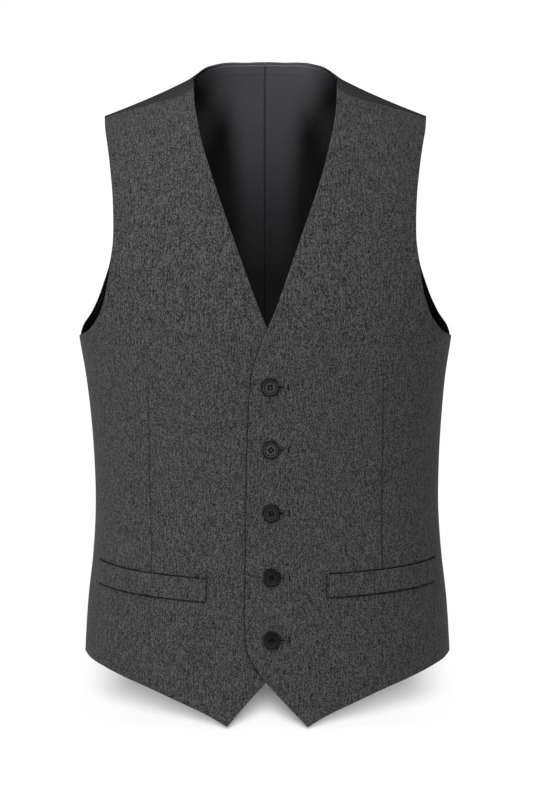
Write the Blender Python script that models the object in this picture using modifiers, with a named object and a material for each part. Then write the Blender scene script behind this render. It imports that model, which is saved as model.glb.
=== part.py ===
"""Suit waistcoat in its worn form: pointed wool fronts, satin back, five buttons.

The cloth is a set of walls over one hollow form. A place on the form has two measures, both in
metres: across, how far round from the centre line, and up, how far above the armhole level. Above
that level the form closes over the shoulders, and up is measured over the ridge. Every piece is a
patch between four edges in these measures, or a strip that lies on such a patch.

Frame: +Z up, the fronts face -Y, +X is the wearer's left. The origin is on the centre plane,
between the shoulders, at the height where they carry the straps.
"""

import math
from collections import namedtuple

import bmesh
import bpy
from mathutils import Vector

# ---- driving dimensions (metres) ----

ARMHOLE_LEVEL = -0.2505        # height of the bottom of the armholes
TURN_RADIUS = 0.160            # metres across for each radian round the body
RIDGE_UP = 0.262               # up, at the ridge of the shoulder
SIDE_SEAM_TURN = math.radians(96)

GIRTH_POWER = 2.3              # squareness of the body seen from above, 2 is an ellipse
FRONT_POWER = 2.0              # squareness of the chest seen from the side
BACK_POWER = 2.2               # squareness of the shoulder blades seen from the side

FRONT_WALL = 0.0016            # wool, canvas and lining together
BACK_WALL = 0.0012
LINING_WALL = 0.0010
SEAM_GAP = 0.00035             # between pieces that are sewn edge to edge
LAYER_GAP = 0.0003             # between pieces that lie on each other
SEAM_STRIP = 0.009             # share of a piece's width that lies flush along a seam
LINING_SET_BACK = 0.0022       # lining edge, inside the edge of the back

NUDGE = 0.0004                 # small step that slopes on the form are worked out over
WELD_DISTANCE = 0.0001         # corners closer than this become one

LAP_LIFT = 0.00105             # each front moves this far, out or in, where they overlap
LAP_FLAT = 0.022               # full lift up to here, across
LAP_END = 0.075                # no lift from here on
LAP_FADE_UP = 0.12             # and none from this far above the armhole level

WELT_THICKNESS = 0.0011
WELT_COLUMNS = 24

BUTTON_RADIUS = 0.0080
BUTTON_THICKNESS = 0.0030
BUTTON_SIDES = 18
BUTTON_SHARP = math.radians(35)        # edges that turn further are shaded as sharp
HOLE_RADIUS = 0.00085
HOLE_SIDES = 6
HOLE_SPREAD = 0.0014           # from the middle to each hole, along x and y

# Quads along each stretch of a piece.
FRONT_CHEST_COLUMNS = 11       # from the front edge to the scoop of the armhole
FRONT_SIDE_COLUMNS = 7         # from there to the side seam
FRONT_ROWS_BELOW = 22          # from the hem to the chest
FRONT_ROWS_ABOVE = 13          # from there to the shoulder seam
HEM_POWER = 1.25               # rows lie closer together near the point of the hem
BACK_BLADE_COLUMNS = 9
BACK_SIDE_COLUMNS = 5
NECK_COLUMNS = 4               # of the blade columns, those that end at the back of the neck
BACK_ROWS_BELOW = 11
BACK_ROWS_MIDDLE = 8
BACK_ROWS_STRAP = 12

# The body, one ring for each level. Above the armhole level, the level is the height that the
# ring has where the shoulder line stands at zero.
Ring = namedtuple("Ring", "level half_width front back sway")
BODY = (
    Ring(-0.640, 0.1796, 0.1215, 0.1160, 0.0012),
    Ring(-0.562, 0.1780, 0.1210, 0.1130, 0.0014),
    Ring(-0.508, 0.1748, 0.1190, 0.1070, 0.0014),
    Ring(-0.462, 0.1698, 0.1160, 0.0995, 0.0013),
    Ring(-0.420, 0.1674, 0.1145, 0.0960, 0.0010),
    Ring(-0.376, 0.1682, 0.1150, 0.0975, 0.0007),
    Ring(-0.332, 0.1711, 0.1178, 0.1035, 0.0003),
    Ring(-0.290, 0.1757, 0.1218, 0.1110, -0.0003),
    Ring(-0.2505, 0.1820, 0.1243, 0.1168, -0.0007),
    Ring(-0.200, 0.1848, 0.1250, 0.1215, -0.0011),
    Ring(-0.130, 0.1825, 0.1245, 0.1250, -0.0012),
    Ring(-0.060, 0.1780, 0.1240, 0.1235, -0.0010),
    Ring(0.000, 0.1750, 0.1240, 0.1170, -0.0005),
)

# The ridge over the shoulders.
Ridge = namedtuple("Ridge", "half_width height")
SHOULDER = (
    Ridge(-0.025, 0.0105),
    Ridge(0.000, 0.0120),
    Ridge(0.025, 0.0105),
    Ridge(0.045, 0.0070),
    Ridge(0.058, 0.0038),
    Ridge(0.0695, 0.0000),
    Ridge(0.080, -0.0052),
    Ridge(0.095, -0.0125),
    Ridge(0.120, -0.0235),
    Ridge(0.145, -0.0336),
    Ridge(0.165, -0.0412),
    Ridge(0.185, -0.0490),
)

# Behind the ridge the cloth also climbs the back of the neck.
Climb = namedtuple("Climb", "half_width rise")
NECK_BASE = (
    Climb(-0.020, 0.0487),
    Climb(0.000, 0.0495),
    Climb(0.020, 0.0487),
    Climb(0.035, 0.0467),
    Climb(0.043, 0.0431),
    Climb(0.051, 0.0371),
    Climb(0.059, 0.0308),
    Climb(0.0665, 0.0242),
    Climb(0.080, 0.0150),
    Climb(0.100, 0.0060),
    Climb(0.120, 0.0015),
    Climb(0.140, 0.0000),
    Climb(0.185, 0.0000),
)
NECK_FULL_BEHIND = 0.55        # share of the way back at which the neck's climb is whole
NECK_FULL_UP = 0.80            # share of the way up at which it is whole

# ---- edges, seen from the front: half_width from the centre line, positive on the wearer's own
# side of that piece, and height ----

Point = namedtuple("Point", "half_width height")

# From the point at the hem, round the cutaway, up the front edge and the neckline.
# The left front closes over the right and its neckline starts a little higher.
LEFT_FRONT_EDGE = (
    Point(0.0383, -0.6265),
    Point(0.0187, -0.6062),
    Point(-0.0025, -0.5827),
    Point(-0.0093, -0.5740),
    Point(-0.0139, -0.5662),
    Point(-0.0176, -0.5583),
    Point(-0.0200, -0.5505),
    Point(-0.0210, -0.5400),
    Point(-0.0213, -0.5248),
    Point(-0.0209, -0.4869),
    Point(-0.0203, -0.4462),
    Point(-0.0190, -0.3920),
    Point(-0.0175, -0.3445),
    Point(-0.0157, -0.3122),
    Point(-0.0140, -0.2995),
    Point(-0.0115, -0.2850),
    Point(-0.0060, -0.2683),
    Point(0.0022, -0.2490),
    Point(0.0091, -0.2324),
    Point(0.0202, -0.2020),
    Point(0.0333, -0.1640),
    Point(0.0451, -0.1303),
    Point(0.0550, -0.0990),
    Point(0.0622, -0.0700),
    Point(0.0667, -0.0480),
    Point(0.0690, -0.0250),
    Point(0.0694, -0.0135),
)
RIGHT_FRONT_EDGE = (
    Point(0.0383, -0.6265),
    Point(0.0210, -0.6062),
    Point(-0.0002, -0.5827),
    Point(-0.0077, -0.5740),
    Point(-0.0133, -0.5662),
    Point(-0.0176, -0.5583),
    Point(-0.0200, -0.5505),
    Point(-0.0210, -0.5400),
    Point(-0.0213, -0.5248),
    Point(-0.0209, -0.4869),
    Point(-0.0203, -0.4462),
    Point(-0.0190, -0.3920),
    Point(-0.0179, -0.3445),
    Point(-0.0167, -0.3122),
    Point(-0.0154, -0.2995),
    Point(-0.0133, -0.2850),
    Point(-0.0092, -0.2683),
    Point(-0.0022, -0.2490),
    Point(0.0044, -0.2324),
    Point(0.0155, -0.2020),
    Point(0.0290, -0.1640),
    Point(0.0422, -0.1260),
    Point(0.0546, -0.0880),
    Point(0.0603, -0.0690),
    Point(0.0645, -0.0500),
    Point(0.0681, -0.0290),
    Point(0.0694, -0.0135),
)

# From the point out to where the hem turns out of sight at the side.
FRONT_HEM = (
    Point(0.0383, -0.6265),
    Point(0.0540, -0.6172),
    Point(0.0826, -0.6040),
    Point(0.1115, -0.5913),
    Point(0.1290, -0.5844),
    Point(0.1467, -0.5770),
    Point(0.1588, -0.5715),
    Point(0.1713, -0.5652),
    Point(0.1755, -0.5617),
)
SIDE_HEM = -0.5600             # height of the hem at the side seam

# From where the armhole comes into sight under the arm, up to the shoulder seam.
FRONT_ARMHOLE = (
    Point(0.1760, -0.2512),
    Point(0.1688, -0.2464),
    Point(0.1616, -0.2372),
    Point(0.1560, -0.2240),
    Point(0.1518, -0.2079),
    Point(0.1491, -0.1903),
    Point(0.1464, -0.1702),
    Point(0.1458, -0.1576),
    Point(0.1458, -0.1431),
    Point(0.1463, -0.1285),
    Point(0.1473, -0.1138),
    Point(0.1489, -0.0990),
    Point(0.1508, -0.0840),
    Point(0.1531, -0.0690),
    Point(0.1558, -0.0536),
    Point(0.1572, -0.0405),
)
UNDERARM = -0.2520             # height of the armhole at the side seam
FRONT_SCOOP = Point(0.1560, -0.2240)   # where the armhole turns up

# From the neck to the tip, in front of the ridge.
SHOULDER_SEAM = (
    Point(0.0694, -0.0135),
    Point(0.0770, -0.0182),
    Point(0.0891, -0.0222),
    Point(0.1079, -0.0272),
    Point(0.1267, -0.0318),
    Point(0.1395, -0.0350),
    Point(0.1500, -0.0382),
    Point(0.1572, -0.0405),
)

# The neck behind the ridge, seen from above, from the strap to the nape.
Round = namedtuple("Round", "half_width behind")
NECK_BEHIND = (
    Round(0.0702, 0.004),
    Round(0.0690, 0.014),
    Round(0.0664, 0.026),
    Round(0.0588, 0.045),
    Round(0.0510, 0.056),
    Round(0.0431, 0.063),
    Round(0.0352, 0.067),
    Round(0.0200, 0.0705),
    Round(0.0000, 0.0715),
)

# The armhole of the back, from the underarm to the tip of the shoulder.
ARMHOLE_BEHIND = (
    Point(0.1795, -0.2421),
    Point(0.1712, -0.2269),
    Point(0.1648, -0.2118),
    Point(0.1598, -0.1967),
    Point(0.1553, -0.1817),
    Point(0.1518, -0.1600),
    Point(0.1504, -0.1350),
    Point(0.1503, -0.1100),
    Point(0.1520, -0.0850),
    Point(0.1548, -0.0600),
    Point(0.1574, -0.0430),
)
BACK_HEM_DROP = 0.012          # centre of the back hem, below the side
BACK_SCOOP = Point(0.1648, -0.2118)    # where its armhole turns up
NECK_TURN = Round(0.0510, 0.056)       # where the neck turns up to the strap
STRAP_FOOT = Point(0.1512, -0.0980)    # on the armhole, level with that

# ---- what lies on the fronts ----

Welt = namedtuple("Welt", "name mirror inner_top outer_top inner_bottom outer_bottom bow")
WELTS = (
    Welt("welt_pocket_right", -1, Point(0.0582, -0.4867), Point(0.1620, -0.4702),
         Point(0.0590, -0.5076), Point(0.1615, -0.4917), 0.0015),
    Welt("welt_pocket_left", 1, Point(0.0569, -0.4822), Point(0.1620, -0.4681),
         Point(0.0569, -0.5034), Point(0.1608, -0.4898), 0.0015),
)

BUTTON_X = 0.0040
BUTTON_HEIGHTS = (-0.3041, -0.3635, -0.4238, -0.4850, -0.5442)

Finish = namedtuple("Finish", "name colour roughness metallic")
WOOL = Finish("grey_melange_wool", (0.062, 0.062, 0.066), 0.90, 0.0)
SATIN = Finish("dark_satin", (0.030, 0.030, 0.033), 0.45, 0.0)
HORN = Finish("black_button", (0.012, 0.012, 0.013), 0.25, 0.0)


# ---- the form ----

def smooth_row(rows, at, column):
    """Value of one column of a table at a place between its rows, on a smooth curve."""
    keys = [row[0] for row in rows]
    values = [getattr(row, column) for row in rows]
    at = min(max(at, keys[0]), keys[-1])
    last = len(keys) - 1
    i = 0
    while i < last - 1 and at > keys[i + 1]:
        i += 1

    def slope(k):
        if k == 0:
            return (values[1] - values[0]) / (keys[1] - keys[0])
        if k == last:
            return (values[last] - values[last - 1]) / (keys[last] - keys[last - 1])
        before = keys[k] - keys[k - 1]
        after = keys[k + 1] - keys[k]
        rise_before = (values[k] - values[k - 1]) / before
        rise_after = (values[k + 1] - values[k]) / after
        return (rise_before * after + rise_after * before) / (before + after)

    step = keys[i + 1] - keys[i]
    t = (at - keys[i]) / step
    return ((1 + 2 * t) * (1 - t) ** 2 * values[i] + t * (1 - t) ** 2 * step * slope(i)
            + t * t * (3 - 2 * t) * values[i + 1] + t * t * (t - 1) * step * slope(i + 1))


def squared_circle(angle, power):
    """Sine and cosine on a superellipse."""
    sine, cosine = math.sin(angle), math.cos(angle)
    reach = (abs(sine) ** power + abs(cosine) ** power) ** (1 / power)
    return sine / reach, cosine / reach


def ease(t):
    t = min(max(t, 0.0), 1.0)
    return t * t * (3 - 2 * t)


def over_shoulder(facing_front, up):
    """Share of the way up to the ridge, and share of the body's depth that is left there."""
    power = FRONT_POWER if facing_front else BACK_POWER
    return squared_circle(up / RIDGE_UP * math.pi / 2, power)


def upper_height(facing_front, half_width, climb, closing):
    height = ARMHOLE_LEVEL + (smooth_row(SHOULDER, half_width, "height") - ARMHOLE_LEVEL) * climb
    if not facing_front:
        whole = ease(closing / NECK_FULL_BEHIND) * ease(climb / NECK_FULL_UP)
        height += smooth_row(NECK_BASE, half_width, "rise") * whole
    return height


def body_point(side, across, up):
    """Point of the form. side is -1 for the front, +1 for the back."""
    sideways, depth = squared_circle(across / TURN_RADIUS, GIRTH_POWER)
    facing = side * depth * (1 if up <= RIDGE_UP else -1)
    climb, closing = over_shoulder(facing < 0, max(up, 0.0))
    level = ARMHOLE_LEVEL * (1 - climb) if up > 0 else ARMHOLE_LEVEL + up
    x = smooth_row(BODY, level, "half_width") * sideways
    y = side * depth * closing * smooth_row(BODY, level, "front" if facing < 0 else "back")
    z = upper_height(facing < 0, abs(x), climb, abs(closing)) if up > 0 else level
    return Vector((x + smooth_row(BODY, level, "sway"), y, z))


def outward(side, across, up):
    """Unit vector that points out of the body there."""
    along = body_point(side, across + NUDGE, up) - body_point(side, across - NUDGE, up)
    rise = body_point(side, across, up + NUDGE) - body_point(side, across, up - NUDGE)
    normal = along.cross(rise) * -side
    return normal.normalized()


def across_of(half_width, level):
    sideways = min(1.0, abs(half_width) / smooth_row(BODY, level, "half_width"))
    depth = (1 - sideways ** GIRTH_POWER) ** (1 / GIRTH_POWER)
    return math.copysign(math.atan2(sideways, depth) * TURN_RADIUS, half_width), depth


def on_form(side, half_width, height):
    """The across and up of a place seen straight from the front or from behind."""
    if height <= ARMHOLE_LEVEL:
        return Vector((across_of(half_width, height)[0], height - ARMHOLE_LEVEL))
    low, high = 0.0, RIDGE_UP
    for _ in range(30):
        up = (low + high) / 2
        climb, closing = over_shoulder(side < 0, up)
        if upper_height(side < 0, abs(half_width), climb, closing) < height:
            low = up
        else:
            high = up
    return Vector((across_of(half_width, ARMHOLE_LEVEL * (1 - climb))[0], up))


def on_form_from_above(half_width, behind):
    """The across and up of a place behind the ridge, seen from above."""
    low, high = 0.0, RIDGE_UP
    for _ in range(30):
        up = (low + high) / 2
        climb, closing = over_shoulder(False, up)
        level = ARMHOLE_LEVEL * (1 - climb)
        across, depth = across_of(half_width, level)
        if depth * closing * smooth_row(BODY, level, "back") > behind:
            low = up
        else:
            high = up
    return Vector((across, up))


# ---- edges and patches, in across and up ----

Curve = namedtuple("Curve", "length across up")


def curve_through(points):
    """A smooth curve through places on the form, read by its length."""
    travelled = 0.0
    rows = [Curve(0.0, points[0].x, points[0].y)]
    for before, after in zip(points, points[1:]):
        travelled += (after - before).length
        rows.append(Curve(travelled, after.x, after.y))
    return rows


def along_curve(curve, share):
    length = curve[-1].length * share
    return Vector((smooth_row(curve, length, "across"), smooth_row(curve, length, "up")))


def share_at_armhole_level(curve):
    """Share of the curve's length where it crosses the armhole level on its way up."""
    low, high = 0.0, 1.0
    for _ in range(40):
        middle = (low + high) / 2
        if along_curve(curve, middle).y < 0:
            low = middle
        else:
            high = middle
    return low


def spread(count, power=1.0):
    """Shares from 0 to 1, closer together near 0 the larger the power."""
    return [(i / count) ** power for i in range(count + 1)]


def spread_to_seam(count):
    """Even shares from 0 to 1, with a narrow one last, so that the cloth meets a seam flush."""
    return spread(count - 1)[:-1] + [1 - SEAM_STRIP, 1.0]


def at_shares(curve, shares):
    return [along_curve(curve, share) for share in shares]


def part_of(curve, start, end, steps=40):
    """The stretch of a curve between two shares of its length."""
    return curve_through([along_curve(curve, start + (end - start) * i / steps)
                          for i in range(steps + 1)])


def share_nearest(curve, place):
    """Share of the curve's length that lies nearest to a place."""
    shares = [i / 400 for i in range(401)]
    return min(shares, key=lambda share: (along_curve(curve, share) - place).length)


def shares_of_length(points):
    travelled = [0.0]
    for before, after in zip(points, points[1:]):
        travelled.append(travelled[-1] + (after - before).length)
    return [length / travelled[-1] for length in travelled]


def patch(inner, outer, bottom, top):
    """Grid of places between four edges, each a list of places, one list for each row."""
    grid = []
    v_shares = list(zip(shares_of_length(inner), shares_of_length(outer)))
    u_shares = list(zip(shares_of_length(bottom), shares_of_length(top)))
    for row, (v_in, v_out) in enumerate(v_shares):
        line = []
        for column, (u_low, u_high) in enumerate(u_shares):
            v = (v_in + v_out) / 2
            u = u_low * (1 - v) + u_high * v
            v = v_in * (1 - u) + v_out * u
            across_rows = inner[row].lerp(outer[row], u)
            across_columns = bottom[column].lerp(top[column], v)
            corners = inner[0].lerp(outer[0], u).lerp(inner[-1].lerp(outer[-1], u), v)
            line.append(across_rows + across_columns - corners)
        grid.append(line)
    return grid


def stacked(blocks, columns):
    """One grid of blocks, each (first column, rows), that share the row where they meet."""
    grid = []
    for first, rows in blocks:
        for line in rows if not grid else rows[1:]:
            filled = [None] * (columns + 1)
            filled[first:first + len(line)] = line
            grid.append(filled)
    return grid


def moved_in(side, place, towards, distance):
    """A place moved towards its neighbour by a real distance on the form."""
    step = (towards - place).normalized() * NUDGE
    there, here = place + step, place
    real = (body_point(side, there.x, there.y) - body_point(side, here.x, here.y)).length
    return place + step * (distance / real)


def trimmed(grid, side, edge_in, edge_out, edge_bottom, edge_top):
    """The same grid with its outermost places moved in, for a seam's gap or a set-back edge."""
    result = [[place and place.copy() for place in line] for line in grid]
    for line, new in zip(grid, result):
        first = next(column for column, place in enumerate(line) if place)
        if line[first].x == 0.0:
            new[first] = moved_in(side, line[first], line[first + 1], edge_in)
        if line[-1]:
            new[-1] = moved_in(side, line[-1], line[-2], edge_out)
    for column in range(len(grid[0])):
        new = result[0]
        new[column] = moved_in(side, new[column], grid[1][column], edge_bottom)
        new = result[-1]
        if new[column]:
            new[column] = moved_in(side, new[column], grid[-2][column], edge_top)
    return result


# ---- turning places into solids ----

def clear_scene():
    for item in list(bpy.data.objects):
        bpy.data.objects.remove(item, do_unlink=True)


def material(finish):
    made = bpy.data.materials.get(finish.name)
    if made is None:
        made = bpy.data.materials.new(finish.name)
        made.use_nodes = True
        shader = made.node_tree.nodes["Principled BSDF"]
        shader.inputs["Base Color"].default_value = (*finish.colour, 1.0)
        shader.inputs["Roughness"].default_value = finish.roughness
        shader.inputs["Metallic"].default_value = finish.metallic
    return made


def cloth(name, grid, side, mirror, lift, wall, finish):
    """A cloth wall: an open surface over the places of a grid, thickened inwards."""
    build = bmesh.new()
    rows = []
    for line in grid:
        row = []
        for place in line:
            if place is None:
                row.append(None)
                continue
            across = place.x * mirror
            point = body_point(side, across, place.y)
            point += outward(side, across, place.y) * lift(across, place.y)
            row.append(build.verts.new(point))
        rows.append(row)
    for low, high in zip(rows, rows[1:]):
        for column in range(len(low) - 1):
            corners = (low[column], low[column + 1], high[column + 1], high[column])
            if None in corners:
                continue
            if side * mirror > 0:
                corners = corners[::-1]
            build.faces.new(corners)
    mesh = bpy.data.meshes.new(name)
    build.to_mesh(mesh)
    build.free()
    mesh.shade_smooth()
    mesh.materials.append(material(finish))
    piece = bpy.data.objects.new(name, mesh)
    collection.objects.link(piece)
    solidify = piece.modifiers.new("wall", "SOLIDIFY")
    solidify.thickness = wall
    solidify.offset = -1.0
    return piece


# ---- the pieces ----

def lap_lift(direction):
    """How far a front moves out or in where the two overlap."""
    def lift(across, up):
        sideways = 1 - ease((abs(across) - LAP_FLAT) / (LAP_END - LAP_FLAT))
        return direction * LAP_LIFT * sideways * (1 - ease(up / LAP_FADE_UP))
    return lift


def side_seam(side):
    turn = SIDE_SEAM_TURN if side < 0 else math.pi - SIDE_SEAM_TURN
    return curve_through([Vector((turn * TURN_RADIUS, SIDE_HEM - ARMHOLE_LEVEL)),
                          Vector((turn * TURN_RADIUS, UNDERARM - ARMHOLE_LEVEL))])


def front_grid(front_edge):
    """Two blocks: below a line from the V to the scoop of the armhole, and above it."""
    edge = curve_through([on_form(-1, *point) for point in front_edge])
    seam = side_seam(-1)
    armhole = curve_through([along_curve(seam, 1.0)]
                            + [on_form(-1, *point) for point in FRONT_ARMHOLE])
    hem = curve_through([on_form(-1, *point) for point in FRONT_HEM] + [along_curve(seam, 0.0)])
    shoulder = curve_through([on_form(-1, *point) for point in SHOULDER_SEAM])

    edge_turn = share_at_armhole_level(edge)
    scoop = share_nearest(armhole, on_form(-1, *FRONT_SCOOP))
    chest = curve_through([along_curve(edge, edge_turn), along_curve(armhole, scoop)])
    chest_columns = at_shares(chest, spread(FRONT_CHEST_COLUMNS))
    under_arm = at_shares(part_of(armhole, scoop, 0.0), spread_to_seam(FRONT_SIDE_COLUMNS))
    top = chest_columns + under_arm[1:]

    inner = at_shares(part_of(edge, 0.0, edge_turn), spread(FRONT_ROWS_BELOW, HEM_POWER))
    outer = at_shares(seam, spread(FRONT_ROWS_BELOW, HEM_POWER))
    bottom = at_shares(hem, spread_to_seam(FRONT_CHEST_COLUMNS + FRONT_SIDE_COLUMNS))
    below = patch(inner, outer, bottom, top)

    inner = at_shares(part_of(edge, edge_turn, 1.0), spread_to_seam(FRONT_ROWS_ABOVE))
    outer = at_shares(part_of(armhole, scoop, 1.0), spread_to_seam(FRONT_ROWS_ABOVE))
    above = patch(inner, outer, chest_columns, at_shares(shoulder, spread(FRONT_CHEST_COLUMNS)))
    return stacked([(0, below), (0, above)], FRONT_CHEST_COLUMNS + FRONT_SIDE_COLUMNS)


def over_the_ridge(place):
    """A place of the front, in the measures of the back."""
    return Vector((place.x, 2 * RIDGE_UP - place.y))


def back_grid():
    """Three blocks: below the armhole's scoop, up to the neck, and the strap over the ridge."""
    seam = side_seam(1)
    shoulder = curve_through([over_the_ridge(on_form(-1, *point)) for point in SHOULDER_SEAM])
    neck = [on_form_from_above(*round_) for round_ in reversed(NECK_BEHIND)]
    neck = curve_through(neck + [along_curve(shoulder, 0.0)])
    nape = along_curve(neck, 0.0)
    armhole = curve_through([along_curve(seam, 1.0)]
                            + [on_form(1, *point) for point in ARMHOLE_BEHIND]
                            + [along_curve(shoulder, 1.0)])
    side_hem = along_curve(seam, 0.0)
    hem = curve_through([Vector((side_hem.x * share, side_hem.y - BACK_HEM_DROP * (1 - ease(share))))
                         for share in spread(8)])
    centre = curve_through([along_curve(hem, 0.0), Vector((0.0, 0.0))])
    spine = curve_through([Vector((0.0, 0.0)), nape])

    scoop = share_nearest(armhole, on_form(1, *BACK_SCOOP))
    neck_turn = share_nearest(neck, on_form_from_above(*NECK_TURN))
    strap_foot = share_nearest(armhole, on_form(1, *STRAP_FOOT))
    blades = curve_through([Vector((0.0, 0.0)), along_curve(armhole, scoop)])
    blade_columns = at_shares(blades, spread(BACK_BLADE_COLUMNS))
    under_arm = at_shares(part_of(armhole, scoop, 0.0), spread_to_seam(BACK_SIDE_COLUMNS))
    inner = at_shares(centre, spread(BACK_ROWS_BELOW))
    outer = at_shares(seam, spread(BACK_ROWS_BELOW))
    bottom = at_shares(hem, spread_to_seam(BACK_BLADE_COLUMNS + BACK_SIDE_COLUMNS))
    below = patch(inner, outer, bottom, blade_columns + under_arm[1:])

    strap_columns = BACK_BLADE_COLUMNS - NECK_COLUMNS
    strap = curve_through([along_curve(neck, neck_turn), along_curve(armhole, strap_foot)])
    strap_line = at_shares(strap, spread(strap_columns))
    top = at_shares(part_of(neck, 0.0, neck_turn), spread(NECK_COLUMNS)) + strap_line[1:]
    inner = at_shares(spine, spread(BACK_ROWS_MIDDLE))
    outer = at_shares(part_of(armhole, scoop, strap_foot), spread(BACK_ROWS_MIDDLE))
    middle = patch(inner, outer, blade_columns, top)

    inner = at_shares(part_of(neck, neck_turn, 1.0), spread_to_seam(BACK_ROWS_STRAP))
    outer = at_shares(part_of(armhole, strap_foot, 1.0), spread_to_seam(BACK_ROWS_STRAP))
    above = patch(inner, outer, strap_line, at_shares(shoulder, spread(strap_columns)))
    return stacked([(0, below), (0, middle), (NECK_COLUMNS, above)],
                   BACK_BLADE_COLUMNS + BACK_SIDE_COLUMNS)


def no_lift(across, up):
    return 0.0


def lining_lift(across, up):
    return -(BACK_WALL + LAYER_GAP)


def make_fronts():
    for hand, mirror, front_edge in (("right", -1, RIGHT_FRONT_EDGE), ("left", 1, LEFT_FRONT_EDGE)):
        grid = trimmed(front_grid(front_edge), -1, 0.0, SEAM_GAP / 2, 0.0, SEAM_GAP / 2)
        cloth("front_" + hand, grid, -1, mirror, lap_lift(mirror), FRONT_WALL, WOOL)


def make_back():
    whole = back_grid()
    outside = trimmed(whole, 1, SEAM_GAP / 2, SEAM_GAP / 2, 0.0, SEAM_GAP / 2)
    inside = trimmed(whole, 1, SEAM_GAP / 2, SEAM_GAP / 2, LINING_SET_BACK, SEAM_GAP / 2)
    for hand, mirror in (("right", -1), ("left", 1)):
        cloth("back_" + hand, outside, 1, mirror, no_lift, BACK_WALL, SATIN)
        cloth("back_lining_" + hand, inside, 1, mirror, lining_lift, LINING_WALL, SATIN)


def make_welt(welt):
    """A strip on the front, its ends square to the pocket's slant."""
    front_lift = lap_lift(welt.mirror)

    def lift(across, up):
        return front_lift(across, up) + LAYER_GAP + WELT_THICKNESS

    rows = []
    for inner, outer in ((welt.inner_bottom, welt.outer_bottom), (welt.inner_top, welt.outer_top)):
        start, end = on_form(-1, *inner), on_form(-1, *outer)
        line = []
        for share in spread(WELT_COLUMNS):
            place = start.lerp(end, share)
            place.y -= welt.bow * 4 * share * (1 - share)
            line.append(place)
        rows.append(line)
    middle = [low.lerp(high, 0.5) for low, high in zip(*rows)]
    cloth(welt.name, [rows[0], middle, rows[1]], -1, welt.mirror, lift, WELT_THICKNESS, WOOL)


Turn = namedtuple("Turn", "radius height")
BUTTON_PROFILE = (              # from the middle of the face, over the rim, to the flat back
    Turn(0.00, 0.62),
    Turn(0.58, 0.62),
    Turn(0.74, 0.96),
    Turn(0.86, 1.00),
    Turn(0.97, 0.78),
    Turn(1.00, 0.45),
    Turn(0.80, 0.08),
    Turn(0.00, 0.00),
)


def button_mesh():
    """A turned disc with a dished face and four holes, its back on z = 0."""
    outline = bpy.data.meshes.new("button_outline")
    points = [(BUTTON_RADIUS * turn.radius, 0.0, BUTTON_THICKNESS * turn.height)
              for turn in BUTTON_PROFILE]
    outline.from_pydata(points, [(i, i + 1) for i in range(len(points) - 1)], [])
    disc = bpy.data.objects.new("button_blank", outline)
    cutters.objects.link(disc)
    turned = disc.modifiers.new("turned", "SCREW")
    turned.steps = BUTTON_SIDES
    turned.render_steps = BUTTON_SIDES
    turned.use_merge_vertices = True
    turned.merge_threshold = WELD_DISTANCE
    drill = bmesh.new()
    for x in (-HOLE_SPREAD, HOLE_SPREAD):
        for y in (-HOLE_SPREAD, HOLE_SPREAD):
            hole = bmesh.ops.create_cone(drill, cap_ends=True, segments=HOLE_SIDES,
                                         radius1=HOLE_RADIUS, radius2=HOLE_RADIUS,
                                         depth=3 * BUTTON_THICKNESS)
            bmesh.ops.translate(drill, verts=hole["verts"], vec=(x, y, 0.0))
    drill_mesh = bpy.data.meshes.new("button_drill")
    drill.to_mesh(drill_mesh)
    drill.free()
    cutter = bpy.data.objects.new("button_drill", drill_mesh)
    cutters.objects.link(cutter)
    cut = disc.modifiers.new("holes", "BOOLEAN")
    cut.object = cutter
    cut.operation = "DIFFERENCE"
    for helper in (disc, cutter):
        helper.hide_render = True
        helper.display_type = "WIRE"
    bpy.context.view_layer.update()
    graph = bpy.context.evaluated_depsgraph_get()
    mesh = bpy.data.meshes.new_from_object(disc.evaluated_get(graph))
    mesh.name = "button"
    mesh.shade_smooth()
    mesh.set_sharp_from_angle(angle=BUTTON_SHARP)
    mesh.materials.append(material(HORN))
    return mesh


def make_buttons():
    """The same button at each height, lying flat on the left front."""
    mesh = button_mesh()
    lift = lap_lift(1)
    for number, height in enumerate(BUTTON_HEIGHTS, start=1):
        place = on_form(-1, BUTTON_X, height)
        normal = outward(-1, place.x, place.y)
        piece = bpy.data.objects.new("button_%d" % number, mesh)
        height_off = lift(place.x, place.y) + LAYER_GAP
        piece.location = body_point(-1, place.x, place.y) + normal * height_off
        piece.rotation_euler = normal.to_track_quat("Z", "Y").to_euler()
        collection.objects.link(piece)


clear_scene()
collection = bpy.data.collections.new("suit_waistcoat")
bpy.context.scene.collection.children.link(collection)
cutters = bpy.data.collections.new("cutters")
bpy.context.scene.collection.children.link(cutters)
make_fronts()
make_back()
for welt in WELTS:
    make_welt(welt)
make_buttons()
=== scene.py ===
"""Looks of a suit waistcoat: melange wool fronts, satin back and lining, welts, buttons, hand sewing.

Metres, +Z up, fronts towards -Y. A place on the cloth has two measures, across (how far round from the
centre line) and up (how far above the armhole level, on over the shoulder).
"""

import math

import bpy
import numpy as np
from mathutils import Matrix, Vector
from mathutils.geometry import delaunay_2d_cdt
from mathutils.kdtree import KDTree


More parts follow.
